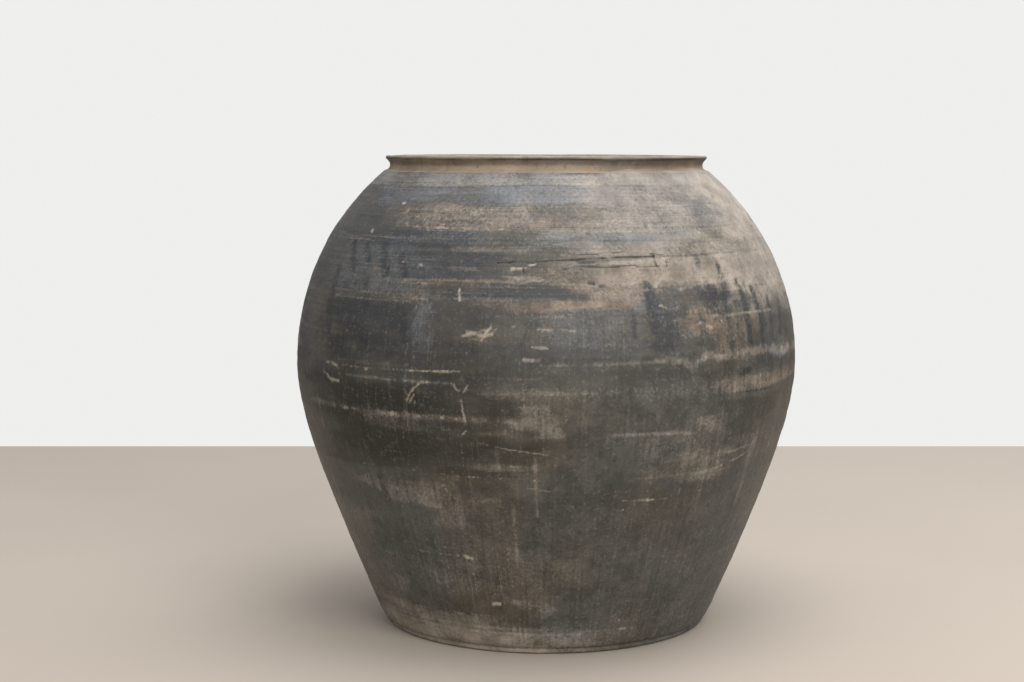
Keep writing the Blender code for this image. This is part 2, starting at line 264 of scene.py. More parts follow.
# Pale scratches and scrapes. Each row is a row of MARKS whose coat is scuff.
SCRATCHES = (
    # left of the middle: the long bright scratch and the scratches round it
    (45, 1.8, 0.1, (-50, 272), (-40, 273), (-30, 273.5)),
    (80, 1.8, 0.18, (-30, 273.5), (-24, 274.5), (-18.5, 275)),
    (62, 3.6, 0.12, (-18.6, 306), (-16.5, 308.5), (-14.5, 307), (-11.8, 308)),
    (55, 3, 0.12, (-17.5, 311), (-15.5, 310), (-13, 312)),
    (60, 2.6, 0.12, (-14.2, 303), (-13.4, 309), (-12.4, 314), (-12.2, 319)),
    (35, 3, 0.08, (-17, 303), (-15, 304)), (35, 2.4, 0.08, (-11.6, 311), (-10.8, 316)),
    (95, 2.8, 0.15, (-20, 346), (-19.7, 337)), (95, 3.4, 0.15, (-52, 396), (-51, 394)),
    (75, 2.6, 0.1, (-31.4, 368), (-30.6, 366)),
    (80, 3, 0.15, (-56, 273), (-54, 273), (-52, 271), (-50.5, 265)),
    (75, 3, 0.15, (-56, 262), (-54, 257), (-51, 257)), (50, 2.4, 0.1, (-57, 268), (-57, 262)),
    (60, 2.2, 0.1, (-31, 246), (-29.8, 255), (-28, 262)),
    (60, 2, 0.1, (-30.5, 241), (-30, 247), (-29, 252)), (65, 2.2, 0.1, (-29.5, 240), (-29, 246)),
    (45, 2, 0.1, (-28, 262), (-25.5, 265)), (60, 2.4, 0.1, (-20.5, 264), (-18.8, 257)),
    (70, 2.2, 0.12, (-16.8, 264), (-18.5, 253), (-18.2, 240), (-17.4, 228)),
    (55, 1.8, 0.1, (-17.6, 222), (-18.8, 217)), (55, 1.6, 0.1, (-15, 211), (-9, 206), (0, 201)),
    (55, 1.8, 0.1, (-5.3, 170), (0, 166.5)),
    # cone
    (60, 1.8, 0.1, (12.5, 163), (16, 165)), (60, 2, 0.1, (17, 155.5), (23.5, 154.6), (29, 154)),
    (80, 2.2, 0.1, (23.4, 154.8), (24.8, 154.6)), (50, 1.8, 0.1, (17, 146), (19, 149)),
    (45, 1.8, 0.1, (-36, 99), (-24, 99.5)),
    (95, 3.4, 0.2, (-24, 99.5), (-22, 98.5), (-20.3, 97.5)),
    (95, 3.6, 0.2, (-15.9, 51.3), (-14.2, 52)),
    (50, 1.8, 0.1, (-24.4, 166), (-23.4, 160), (-23.8, 154)),
    (60, 3, 0.1, (21.6, 102), (21.8, 100)), (55, 2, 0.1, (22, 33), (24, 34), (27, 35)),
    # right belly
    (60, 1.8, 0.12, (41, 201), (41.2, 192), (41.6, 183)),
    (55, 1.8, 0.12, (37.5, 177), (43, 180), (48, 184), (53, 189)),
    (50, 1.8, 0.12, (44.5, 192), (50, 195), (55.5, 198)),
    (45, 1.8, 0.12, (59.5, 199), (63, 196), (64, 188), (65.5, 170)),
    (40, 1.8, 0.12, (61, 185), (63.5, 158)), (45, 1.8, 0.1, (56, 83), (63, 86), (70, 90)),
    (65, 4.4, 0.15, (34, 315), (35.5, 312), (37, 311)),
    (60, 2.6, 0.1, (24.5, 332), (26, 328.5), (28.5, 329)),
    # middle and left shoulder
    # painted highlight: the first row below is a pale glint on the burnish, just left of the middle
    (62, 3, 0.1, (-3.8, 297.8), (-2.2, 297), (-0.8, 296.5)),
    (80, 3.4, 0.15, (-8.5, 364.5), (-6, 365.5), (-3.5, 369.5)),
    (55, 2.6, 0.1, (-7.2, 353), (-6.2, 361)), (40, 3, 0.1, (-30.5, 352), (-28, 350)),
    (35, 3, 0.1, (-31, 338), (-27.5, 337)), (40, 2.2, 0.1, (-30, 328), (-29.6, 333)),
    (40, 2.4, 0.1, (-29.2, 347), (-29, 343)), (60, 2.2, 0.1, (-32.8, 400), (-31.5, 396)),
    # faint streaks down the cone
    (32, 2.4, 0, (-13.3, 104), (-13.3, 62)), (26, 2.4, 0, (-20.6, 88), (-20.6, 60)),
    (22, 2.2, 0, (-22.6, 235), (-22.6, 170)), (20, 2, 0, (-18.9, 215), (-18.9, 150)),
    (20, 2, 0, (-10.5, 120), (-10.5, 70)),
    # turning line round the foot
    (25, 1.6, 0.1, (-66, 38), (-20, 38.5), (20, 38)),
)

# Specks where the skin has chipped off. Each row: strength (%), width (mm), azimuth, height (mm), and
# length in degrees.
CHIPS = (
    (80, 2.6, -45, 420, 0.8), (70, 2.4, -41.8, 413.5, 0.6), (70, 2.4, -60.5, 419, 0.5),
    (65, 2.2, -36.3, 369, 0.6), (80, 2, -24.8, 168.6, 0.4), (85, 2.2, -3.6, 177, 0.4),
    (80, 2.4, 39.8, 316, 0.4), (60, 2, -7.9, 315, 0.4), (55, 2, -49.2, 304, 0.4),
    (75, 2.2, -42.2, 271, 0.4), (65, 2.2, 4.3, 299, 0.4), (65, 2.2, 8, 301, 0.4),
    (60, 2.6, -2.3, 355, 0.6),
)

# Rows of short scratches left by the potter's rib. Each row: azimuth from and to (degrees),
# height (mm), height drift (mm), mean length and width (mm), strength (%), how many.
DASH_ROWS = (
    (-48, -18, 264, 0, 7, 2, 28, 26),
    (-58, -14, 233, 0, 3, 3, 24, 90),
    (-30, -20, 222, 0, 5, 2, 36, 8),
    (-45, -34, 197, 0, 9, 1.7, 36, 7),
    (-46, -14, 181, -3, 12, 1.5, 36, 17),
    (-14, 9, 178, 0, 10, 1.4, 22, 8),
    (-14, -3, 190, 0, 9, 1.8, 36, 8),
    (-55, -25, 107, 0, 12, 1.4, 26, 13),
    (-14, 20, 261, -2, 12, 2.2, 20, 16),
    (26, 48, 158, 3, 14, 1.6, 25, 9),
    (-68, -20, 38, 0, 18, 1.6, 20, 12),
    (-20, 24, 20, 0, 20, 1.6, 25, 12),
    (-16, 26, 129, 0, 10, 1.8, 16, 9),
)

# Rings carried round the sides and the back: coat, height from and to (mm), strength (%)
FAR_RINGS = (
    ("soot", 418, 437, 55), ("haze", 418, 436, 45), ("tan", 396, 417, 70),
    ("rust", 398, 416, 40), ("soot", 380, 396, 70), ("haze", 382, 395, 35),
    ("tan", 372, 386, 65), ("soot", 354, 378, 55), ("tan", 350, 371, 75),
    ("rust", 340, 366, 45), ("soot", 334, 352, 55), ("tan", 326, 336, 55),
    ("soot", 288, 332, 55), ("rust", 290, 330, 45), ("haze", 296, 340, 30),
    ("tan", 281, 289, 45), ("soot", 264, 280, 40), ("tan", 250, 263, 34),
    ("soot", 180, 258, 45), ("tan", 206, 246, 26), ("tan", 160, 200, 26),
    ("tan", 120, 172, 28), ("soot", 60, 168, 35), ("tan", 30, 130, 28),
    ("haze", 60, 150, 20), ("tan", -8, 30, 40), ("haze", -8, 26, 35),
)

# Low ledges where the rib stopped: height (mm) and drop (mm)
LEDGES = (
    (417, 0.22), (396, 0.25), (378, 0.2), (353, 0.22), (328, 0.12), (290, 0.18), (263, 0.18),
    (249, 0.2), (233, 0.12), (181, 0.1), (107, 0.12), (38, 0.15), (23, 0.3),
)

# Unevenness of the outer face: mm outward, then the mm round and the mm high of its blobs, octaves
WALL_RELIEF = (
    (0.55, 330, 240, 2), (0.22, 46, 30, 3), (0.16, 260, 11, 3),
    (0.07, 120, 3.2, 2), (0.05, 6, 60, 2), (0.06, 5, 4, 2),
)

# How far the jar is out of round and its height out of level: mm, waves round it, shift (radians)
SWAY = ((0.6, 1, -0.7), (0.5, 2, 1.1), (0.3, 3, 2.6))
HEAVE = ((0.35, 1, 2.0), (0.25, 2, -0.4), (0.12, 5, 0.0))
SWAY_FROM = 0.10  # height by which the sway has its full size

# The pale blue-grey coat is a thin film and partly a painted sheen of the sky on the burnish
COATS = ("tan", "rust", "soot", "haze", "scuff", "crack")
# What each coat takes away of the coats under it
COVERS = {
    "tan": (("soot", 0.85), ("rust", 0.50)),
    "rust": (("soot", 0.65), ("haze", 0.50), ("tan", 0.45)),
    "soot": (("tan", 0.85), ("rust", 0.70), ("haze", 0.60)),
}
PERCENT = 0.01
CHIP_DEPTH = 0.1  # mm
SOFT_EDGE = 3.0  # mm over which an area's upper and lower edges fade
SIDE_FADE = 15.0  # degrees over which its sides fade, at most
MARK_CORE = 0.55  # share of a mark's width at which it has faded to a third
MARK_BREAKS = 0.7  # how far a mark is broken up, as a dry scratch is
OFF_WALL = -1000.0  # height given to rows that no area or mark may reach


# ---- The meridian ----

def outer_radius(z):
    """Outer radius of the wall: an ellipse above the belly, a hyperbola below it."""
    if z >= BELLY_HEIGHT:
        rise = (z - BELLY_HEIGHT) / DOME_RISE
        return BELLY_RADIUS * math.sqrt(1.0 - rise * rise)
    whole = math.hypot(1.0, BELLY_HEIGHT / CONE_SOFTNESS) - 1.0
    share = (math.hypot(1.0, (BELLY_HEIGHT - z) / CONE_SOFTNESS) - 1.0) / whole
    tuck = max(0.0, (FOOT_TUCK_HEIGHT - z) / FOOT_TUCK_HEIGHT)
    return BELLY_RADIUS - (BELLY_RADIUS - CONE_FOOT_RADIUS) * share - FOOT_TUCK * tuck * tuck


def outer_point(z):
    return outer_radius(z), z


def inner_point(z):
    """Point of the inner face that lies square to the outer face at height z."""
    reach = 0.5 * MM
    slope = (outer_radius(z + reach) - outer_radius(z - reach)) / (2.0 * reach)
    length = math.hypot(1.0, slope)
    wall = WALL_AT_FOOT + (WALL_AT_NECK - WALL_AT_FOOT) * z / HEIGHT
    return outer_radius(z) - wall / length, z + wall * slope / length


def arc_point(centre, radius, degrees):
    turn = math.radians(degrees)
    return centre[0] + radius * math.cos(turn), centre[1] + radius * math.sin(turn)


def evened(points, step):
    """The polyline through the points, cut again into even steps; both ends are kept."""
    points = np.array(points)
    run = np.concatenate(([0.0], np.cumsum(np.hypot(*np.diff(points, axis=0).T))))
    places = np.linspace(0.0, run[-1], max(2, round(run[-1] / step)) + 1)
    return np.stack([np.interp(places, run, points[:, i]) for i in (0, 1)], axis=1)


def smooth_curve(points, steps=12):
    """Catmull-Rom curve through the points."""
    knots = [np.array(p) for p in (points[0], *points, points[-1])]
    curve = []
    for a, b, c, d in zip(knots, knots[1:], knots[2:], knots[3:]):
        for i in range(steps):
            t = i / steps
            bend = (2*a - 5*b + 4*c - d) * t * t + (3*b - a - 3*c + d) * t**3
            curve.append(b + 0.5 * ((c - a) * t + bend))
    curve.append(knots[-1])
    return curve


def underside_run():
    """From the middle of the slightly hollow underside out to the ring it stands on."""
    hollow_edge = SEAT_RADIUS - 12.0 * MM
    return [(POLE_RADIUS, UNDERSIDE_HOLLOW), (hollow_edge, UNDERSIDE_HOLLOW), (SEAT_RADIUS, 0.0)]


def heel_run():
    """From the standing ring, round the slab's worn edge, to the first seam."""
    centre = HEEL_RADIUS - BASE_EDGE_ROUND, BASE_EDGE_ROUND
    edge = [arc_point(centre, BASE_EDGE_ROUND, degrees) for degrees in range(-90, 1, 15)]
    groove = HEEL_RADIUS - 0.05 * MM, BASE_EDGE_HEIGHT - 1.2 * MM
    return [(SEAT_RADIUS, 0.0), *edge, groove, outer_point(BASE_EDGE_HEIGHT)]


def wall_run(place, start, end, steps=40):
    return [place(start + (end - start) * i / steps) for i in range(steps + 1)]


def corner_run():
    """From the foot course's inner top, round the smeared corner, to the slab's open floor."""
    level = BASE_THICKNESS + INNER_CORNER_ROUND
    wall = wall_run(inner_point, SEAMS[1] - SCARF_DROP, level, 4)
    centre = wall[-1][0] - INNER_CORNER_ROUND, level
    return wall + [arc_point(centre, INNER_CORNER_ROUND, -degrees) for degrees in range(25, 91, 13)]


def meridian():
    """All points of the meridian, and the rows at which one run ends and the next begins."""
    neck = smooth_curve([outer_point(NECK_FOOT), *NECK_SECTION, (NECK_RADIUS, NECK_TOP)])
    lip = smooth_curve([(NECK_RADIUS, NECK_TOP), *LIP_SECTION, (MOUTH_RADIUS, NECK_TOP)])
    shoulder_inside = inner_point(NECK_FOOT - SCARF_DROP)
    throat = smooth_curve([(MOUTH_RADIUS, NECK_TOP), *THROAT_SECTION, shoulder_inside])
    runs = [(underside_run(), FLAT_STEP), (heel_run(), OUTER_STEP)]
    runs += [(wall_run(outer_point, low, high), OUTER_STEP) for low, high in zip(SEAMS, SEAMS[1:])]
    runs += [(neck, LIP_STEP), (lip, LIP_STEP), (throat, 3 * LIP_STEP)]
    falling = [seam - SCARF_DROP for seam in reversed(SEAMS[1:])]
    for high, low in zip(falling, falling[1:]):
        runs.append((wall_run(inner_point, high, low), INNER_STEP))
    corner = corner_run()
    runs += [(corner, INNER_STEP / 2), ([corner[-1], (POLE_RADIUS, corner[-1][1])], FLAT_STEP)]
    points = [evened(*runs[0])]
    ends = [0, len(points[0]) - 1]
    for run, step in runs[1:]:
        points.append(evened(run, step)[1:])
        ends.append(ends[-1] + len(points[-1]))
    return np.concatenate(points), ends


line, ends = meridian()
ROWS = len(line)
STAND_ROW = ends[1]  # the ring the jar stands on
WALL_ROW = ends[2]  # foot of the outer wall
NECK_ROW = ends[2 + len(COURSES)]
THROAT_ROW = ends[4 + len(COURSES)]
TOP_ROW = int(np.argmax(line[:, 1]))

around = np.linspace(-math.pi, math.pi, COLUMNS, endpoint=False)
azimuth = np.degrees(around - FRONT_CROWDING * np.sin(around))
travel = np.concatenate(([0.0], np.cumsum(np.hypot(*np.diff(line, axis=0).T)))) / MM
height = np.where(np.arange(ROWS) <= TOP_ROW, line[:, 1] / MM, OFF_WALL)
height[:STAND_ROW] = OFF_WALL
girth = math.tau * BELLY_RADIUS / MM


# ---- Fields over the grid ----

def ramp(share):
    """0 to 1 with eased ends."""
    share = np.clip(share, 0.0, 1.0)
    return share * share * (3.0 - 2.0 * share)


def unturned(degrees):
    """The same angle between -180 and 180."""
    return (degrees + 180.0) % 360.0 - 180.0


def cloud(seed, across, along, octaves=3):
    """Smooth noise with spread 0.5 over the grid: blobs across mm round and along mm high."""
    total = np.zeros((ROWS, COLUMNS))
    for octave in range(octaves):
        fine = 2.0 ** octave
        draw = random.Random(100 * seed + octave)
        cells = max(3, round(girth * fine / across))
        level = travel * fine / along
        spot = (azimuth / 360.0 + 0.5) * cells
        table = [[draw.uniform(-1.0, 1.0) for _ in range(cells)] for _ in range(int(level[-1]) + 2)]
        table = np.array(table)
        row, column = level.astype(int), spot.astype(int) % cells
        up, over = ramp(level - row)[:, None], ramp(spot - np.floor(spot))[None, :]
        after = (column + 1) % cells
        low = table[np.ix_(row, column)] * (1 - over) + table[np.ix_(row, after)] * over
        high = table[np.ix_(row + 1, column)] * (1 - over) + table[np.ix_(row + 1, after)] * over
        total += (low * (1 - up) + high * up) / fine
    return total * 0.5 / total.std()


# Areas stray from their edges by some degrees and mm, and are thin in places. Among the run marks
# of the right shoulder their edges are also combed up and down.
breakage = cloud(3, 7, 5)
patchy = np.clip(0.95 + 0.36 * cloud(4, 34, 15, 4), 0.2, 1.25)
combed_rows = ramp((height - 290.0) / 24.0) * ramp((362.0 - height) / 14.0)
combed_columns = ramp((azimuth - 17.0) / 5.0) * ramp((80.0 - azimuth) / 20.0)
combing = combed_rows[:, None] * combed_columns[None, :]
azimuth_drawn = azimuth[None, :] + cloud(1, 70, 16) * 7.0
height_drawn = height[:, None] + cloud(2, 90, 9) * 2.6 + combing * cloud(5, 9, 120, 3) * 6.0
coats = {name: np.zeros((ROWS, COLUMNS)) for name in COATS}
relief = np.zeros((ROWS, COLUMNS))  # mm outward


def lay(coat, place, cover):
    """Lay a coat over part of the grid; it takes away some of the coats that it covers."""
    coats[coat][place] += (1.0 - coats[coat][place]) * cover
    for other, share in COVERS.get(coat, ()):
        coats[other][place] *= 1.0 - share * cover


def paint_area(coat, start, end, low, high, strength, soft=SOFT_EDGE):
    """A soft-edged patch of a coat between two azimuths and two heights."""
    reach = 0.5 * (end - start)
    off = np.abs(unturned(azimuth_drawn - 0.5 * (start + end)))
    soft_round = min(SIDE_FADE, 0.8 * reach)
    soft_up = min(soft, 0.4 * (high - low))
    shape = ramp((height_drawn - low) / soft_up + 0.5) * ramp((high - height_drawn) / soft_up + 0.5)
    if reach < 180:
        shape = shape * ramp((reach - off) / soft_round + 0.5)
    lay(coat, np.s_[:, :], strength * PERCENT * np.clip(shape * patchy, 0.0, 1.0))


def paint_mark(coat, strength, width, depth, *points):
    """A line of the given width through the points, sunk into the clay by the given depth."""
    heights = [z for _, z in points]
    margin = 1.6 * width + 2.0
    rows = np.flatnonzero((height > min(heights) - margin) & (height < max(heights) + margin))
    scale = math.radians(outer_radius(sum(heights) / len(heights) * MM) / MM)
    across = unturned(azimuth - points[0][0]) * scale
    spots = [(unturned(a - points[0][0]) * scale, z) for a, z in points]
    lows, highs = min(x for x, _ in spots) - margin, max(x for x, _ in spots) + margin
    columns = np.flatnonzero((across > lows) & (across < highs))
    if not len(rows) or not len(columns):
        return
    place = np.ix_(rows, columns)
    x, z = across[columns][None, :], height[rows][:, None]
    nearest = np.full((len(rows), len(columns)), 1e9)
    for (ax, az), (bx, bz) in zip(spots, spots[1:]):
        span = max((bx - ax) ** 2 + (bz - az) ** 2, 1e-6)
        t = np.clip(((x - ax) * (bx - ax) + (z - az) * (bz - az)) / span, 0.0, 1.0)
        nearest = np.minimum(nearest, np.hypot(x - ax - t * (bx - ax), z - az - t * (bz - az)))
    shape = np.exp(-(nearest / (MARK_CORE * width)) ** 2)
    relief[place] -= depth * shape
    shape = np.clip(shape * (1.0 + MARK_BREAKS * breakage[place]), 0.0, 1.0)
    lay(coat, place, strength * PERCENT * shape)


draw = random.Random(7)
between = draw.uniform


def paint_dashes(start, end, z, drop, length, width, strength, count):
    """A row of short, nearly level scratches."""
    for _ in range(count):
        share = draw.random()
        spot = start + (end - start) * share
        level = z + drop * share + draw.gauss(0.0, 0.35 * width)
        reach = math.degrees(0.5 * between(0.4, 1.6) * length * MM / BELLY_RADIUS)
        tilt = draw.gauss(0.0, 0.4)
        ends_at = (spot - reach, level - tilt), (spot + reach, level + tilt)
        weight = strength * between(0.5, 1.05)
        paint_mark("scuff", weight, width * between(0.5, 1.0), 0.06, *ends_at)


def paint_far_side():
    """The same rings carried round the sides and the back, with their own breaks and worn spots."""
    for coat, low, high, strength in FAR_RINGS:
        for _ in range(4):
            start = between(78, 262)
            end = min(start + between(18, 80), 284)
            soft = max(SOFT_EDGE, 0.35 * (high - low))
            paint_area(coat, start, end, low, high, strength * between(0.6, 1.1), soft)
    for _ in range(20):  # run marks
        spot, top = between(80, 290), between(325, 380)
        length = between(25, 60)
        run = (spot, top), (spot + 0.5, top - length)
        paint_mark("soot", between(35, 70), between(7, 14), 0.25, *run)
    for _ in range(60):  # bent scratches
        spot, level = between(80, 280), between(30, 420)
        run, rise = draw.gauss(0, 5), draw.gauss(0, 7)
        bend = level + 0.5 * rise + draw.gauss(0, 2)
        points = (spot, level), (spot + 0.5 * run, bend), (spot + run, level + rise)
        paint_mark("scuff", between(35, 80), between(1.4, 2.6), 0.12, *points)
    for _ in range(9):  # scraped spots
        spot, level = between(80, 280), between(60, 400)
        for _ in range(4):
            there = spot + draw.gauss(0, 1.0), level + draw.gauss(0, 4.0)
            here = spot + draw.gauss(0, 1.0), level + draw.gauss(0, 4.0)
            paint_mark("scuff", 60, between(2.4, 4.5), 0.12, here, there)
    for _ in range(9):  # rows left by the rib
        start, level = between(80, 250), between(160, 410)
        paint_dashes(start, start + between(12, 40), level, 0, 9, 2.2, 40, 18)
    for level in (371, 362):  # cracks
        spot = between(110, 240)
        for _ in range(6):
            next_spot = spot + between(3, 8)
            next_level = level + draw.gauss(0, 1.4)
            paint_mark("crack", 75, 1.6, 0.3, (spot, level), (next_spot, next_level))
            spot, level = next_spot, next_level


def paint_wipes():
    """Thin level lines all round, thickest on the shoulder, faint streaks down the cone, and
    pale and dark specks."""
    for _ in range(150):  # shoulder
        level = 240 + 205 * draw.random() ** 0.6
        start, length = between(-180, 180), between(6, 42)
        coat = draw.choice(("tan", "rust", "haze", "soot", "soot"))
        middle = start + 0.5 * length, level + draw.gauss(0, 0.8)
        points = (start, level), middle, (start + length, level)
        paint_mark(coat, between(10, 30), between(1.4, 3.2), 0.04, *points)
    for _ in range(90):  # below the belly
        level, start = between(20, 250), between(-180, 180)
        points = (start, level), (start + between(6, 36), level + draw.gauss(0, 1.0))
        coat = draw.choice(("tan", "soot"))
        paint_mark(coat, between(10, 26), between(1.4, 2.6), 0.04, *points)
    for _ in range(150):  # streaks
        spot, top = between(-180, 180), between(70, 240)
        points = (spot, top), (spot + draw.gauss(0, 0.2), top - between(20, 80))
        coat = draw.choice(("scuff", "soot", "soot", "tan"))
        strength = between(5, 16) if coat == "scuff" else between(12, 34)
        paint_mark(coat, strength, between(1.8, 4.2), 0.05, *points)
    for _ in range(130):  # pale specks
        spot, level = between(-180, 180), between(15, 435)
        reach = abs(draw.gauss(0, 0.25))
        points = (spot, level), (spot + reach, level + draw.gauss(0, 0.7))
        paint_mark("scuff", between(12, 46), between(1.3, 2.2), 0.05, *points)
    for _ in range(90):  # pits
        spot, level = between(-180, 180), between(15, 435)
        points = (spot, level), (spot + 0.2, level)
        paint_mark("crack", between(30, 70), between(1.3, 2.2), 0.15, *points)


def paint_whitish_wipes():
    """The dense fine whitish scratches of the brown ring, left of the middle."""
    for _ in range(330):
        spot, level = draw.gauss(-26, 10), between(397, 417)
        if -44 < spot < 4:
            lean, rise = between(0.4, 1.8), draw.gauss(0.0, 1.8)
            points = (spot, level), (spot + lean, level + rise)
            paint_mark("scuff", between(8, 26), between(1.2, 1.8), 0.04, *points)


def work_relief():
    """The scraped, slightly uneven skin of a big jar built up by hand, in mm outward."""
    wall = ramp((travel - travel[STAND_ROW]) / 12.0) * ramp((travel[THROAT_ROW] - travel) / 12.0)
    lip = ramp((travel - travel[NECK_ROW] + 8.0) / 8.0)
    inside = ramp((travel - travel[THROAT_ROW]) / 20.0)
    outside = (wall * (1.0 - 0.75 * lip))[:, None]
    layers = enumerate(WALL_RELIEF, start=11)
    relief[:] += outside * sum(share * cloud(seed, *blob) for seed, (share, *blob) in layers)
    relief[:] += (lip * wall)[:, None] * (0.16 * cloud(17, 60, 10, 2) + 0.05 * cloud(18, 8, 4, 2))
    ridges = np.sin(math.tau * (travel[:, None] + 5.0 * cloud(19, 300, 80, 2)) / 27.0)
    rough = 0.45 * ridges + 0.35 * cloud(20, 70, 30, 2) + 0.5 * cloud(21, 400, 200, 2)
    relief[:] += (inside * ramp((travel[-1] - travel) / 60.0))[:, None] * rough
    for level, drop in LEDGES:
        edge = ramp((height_drawn - level) / 2.4 + 0.5) * ramp(1.0 - (height_drawn - level) / 16.0)
        relief[:] -= outside * drop * edge * np.clip(0.7 + cloud(int(level), 140, 60, 2), 0.0, 1.4)


def blotched(seed, across, along, octaves, middle, most=1.0):
    """A share that wavers round its middle from blob to blob."""
    return np.clip(middle + 0.5 * cloud(seed, across, along, octaves), 0.0, most)


def coat_hidden_faces():
    """Coats of the throat, the inside and the underside, which no area or mark reaches."""
    inside = (np.arange(ROWS) > TOP_ROW)[:, None]
    under = (np.arange(ROWS) < STAND_ROW)[:, None]
    coats["soot"][:] = np.where(inside, blotched(31, 120, 60, 3, 0.30), coats["soot"])
    coats["tan"][:] = np.where(inside, blotched(32, 160, 22, 3, 0.30), coats["tan"])
    coats["tan"][:] = np.where(under, blotched(31, 120, 60, 3, 0.45), coats["tan"])
    coats["scuff"][:] = np.where(under, np.clip(0.9 * breakage - 0.3, 0, 1), coats["scuff"])


def coat_rings():
    """Rings all round: the worn lip, the dark seam over the slab, a painted shadow under the lip's
    overhang, and rust at the lip's root.
    """
    lip = ramp(1.0 - np.abs(travel - travel[TOP_ROW]) / 7.0)
    seam = np.exp(-((travel - travel[WALL_ROW]) / 1.4) ** 2)
    # painted shadow: a dark ring laid on the soot coat just under the lip's overhang, where shade falls
    painted_lip_shadow = np.exp(-((height - 460.2) / 1.1) ** 2)
    lip_root = ramp((height - 452.0) / 3.0) * ramp((459.5 - height) / 3.0)
    seam_cracks = np.clip(0.05 + 0.4 * cloud(34, 60, 5, 2), 0, 0.6)
    for coat, ring, share in (
        ("tan", lip, blotched(33, 30, 6, 2, 0.45)),
        ("crack", seam, seam_cracks),
        ("soot", painted_lip_shadow, blotched(35, 60, 6, 2, 0.62, 0.95)),
        ("rust", lip_root, blotched(36, 50, 6, 2, 0.55)),
    ):
        coats[coat] += (1.0 - coats[coat]) * ring[:, None] * share


for row in AREAS:
    paint_area(*row)
paint_far_side()
paint_wipes()
paint_whitish_wipes()
for row in MARKS:
    paint_mark(*row)
for row in SCRATCHES:
    paint_mark("scuff", *row)
for strength, width, spot, level, length in CHIPS:
    paint_mark("scuff", strength, width, CHIP_DEPTH, (spot, level), (spot + length, level))
for row in DASH_ROWS:
    paint_dashes(*row)
work_relief()
coat_hidden_faces()
coat_rings()


# ---- The grid in space ----

def waves(rows, turn):
    return sum(size * np.cos(count * turn + shift) for size, count, shift in rows)


def grid_points():
    """The meridian turned about the axis, with the relief laid on square to the surface."""
    step = np.gradient(line, axis=0)
    step /= np.hypot(*step.T)[:, None]
    square = np.stack([step[:, 1], -step[:, 0]], axis=1)
    radius = line[:, :1] + square[:, :1] * relief * MM
    z = line[:, 1:] + square[:, 1:] * relief * MM
    turn = np.radians(azimuth)[None, :]
    share = np.clip(z / HEIGHT, 0.0, 1.0)
    radius = radius + waves(SWAY, turn) * ramp(z / SWAY_FROM) * MM * radius / BELLY_RADIUS
    z = np.maximum(z + waves(HEAVE, turn) * share ** 2 * MM, 0.0)
    return np.stack([radius * np.sin(turn), -radius * np.cos(turn), z], axis=2)


def grid_normals(points):
    along = np.gradient(points, axis=0)
    across = np.roll(points, -1, axis=1) - np.roll(points, 1, axis=1)
    normals = np.cross(across, along)
    return normals / np.linalg.norm(normals, axis=2, keepdims=True)


points = grid_points()
normals = grid_normals(points)
turn = np.radians(azimuth)[None, :]
unrolled = np.empty((ROWS, COLUMNS, 3))
unrolled[..., 0] = 0.2 * np.sin(turn)
unrolled[..., 1] = -0.2 * np.cos(turn)
unrolled[..., 2] = travel[:, None] * MM


def member_rows():
    """For each CAD node: the rows its piece is made of, and whether they close into a ring."""
    last = len(ends) - 1

    def span(run):
        return list(range(ends[run], ends[run + 1] + 1))

    rows = {"base_slab": (span(0) + span(1)[1:] + span(last - 1), False)}
    for index, name in enumerate(COURSES):
        rows[name] = (span(2 + index) + span(last - 2 - index), True)
    neck = 2 + len(COURSES)
    rows["neck_collar"] = (span(neck) + span(neck + 2), True)
    rows["rim_lip"] = (span(neck + 1), True)
    return rows


def closed_skin(rows, ring):
    """Points, faces and corner normals of the given rows; a piece that is no ring gets caps."""
    here = np.arange(COLUMNS)
    there = (here + 1) % COLUMNS
    last = len(rows) - 1
    faces, corner_normals = [], []
    for low, high in [(k, k + 1) for k in range(last)] + ([(last, 0)] if ring else []):
        under, over = low * COLUMNS, high * COLUMNS
        quads = [under + here, under + there, over + there, over + here]
        a, b = normals[rows[low]], normals[rows[high]]
        shades = np.stack([a[here], a[there], b[there], b[here]], axis=1)
        if rows[high] != rows[low] + 1:  # bridges two runs, hidden in a seam
            p, q = points[rows[low]], points[rows[high]]
            flat = np.cross(p[there] - p[here], q[here] - p[here])
            flat /= np.linalg.norm(flat, axis=1, keepdims=True)
            shades = np.repeat(flat[:, None, :], 4, axis=1)
        faces.extend(np.stack(quads, axis=1).tolist())
        corner_normals.append(shades.reshape(-1, 3))
    places = points[rows].reshape(-1, 3)
    for end, facing in () if ring else ((0, -1.0), (last, 1.0)):
        middle = len(places)
        places = np.concatenate([places, [[0.0, 0.0, points[rows[end]][:, 2].mean()]]])
        rim = zip((end * COLUMNS + here).tolist(), (end * COLUMNS + there).tolist())
        faces.extend((b, a, middle) if facing < 0 else (a, b, middle) for a, b in rim)
        corner_normals.append(np.tile([0.0, 0.0, facing], (3 * COLUMNS, 1)))
    return places, faces, np.concatenate(corner_normals)


def build_member(name, rows, ring):
    """The member's closed mesh, with its coats and the unrolled place of each point."""
    places, faces, corner_normals = closed_skin(rows, ring)
    mesh = bpy.data.meshes.new(name)
    mesh.from_pydata(places.tolist(), [], faces)
    mesh.polygons.foreach_set("use_smooth", [True] * len(mesh.polygons))
    mesh.normals_split_custom_set(corner_normals.tolist())
    poles = len(places) - len(rows) * COLUMNS
    for coat, field in coats.items():
        values = field[rows].reshape(-1)
        values = np.concatenate([values, np.full(poles, values.mean())])
        layer = mesh.attributes.new(coat, "FLOAT", "POINT")
        layer.data.foreach_set("value", values.astype(np.float32))
    flatways = np.concatenate([unrolled[rows].reshape(-1, 3), np.zeros((poles, 3))])
    layer = mesh.attributes.new("unrolled", "FLOAT_VECTOR", "POINT")
    layer.data.foreach_set("vector", flatways.astype(np.float32).ravel())
    piece = bpy.data.objects.new(name, mesh)
    bpy.context.scene.collection.objects.link(piece)
    return piece


# ---- Fired clay ----

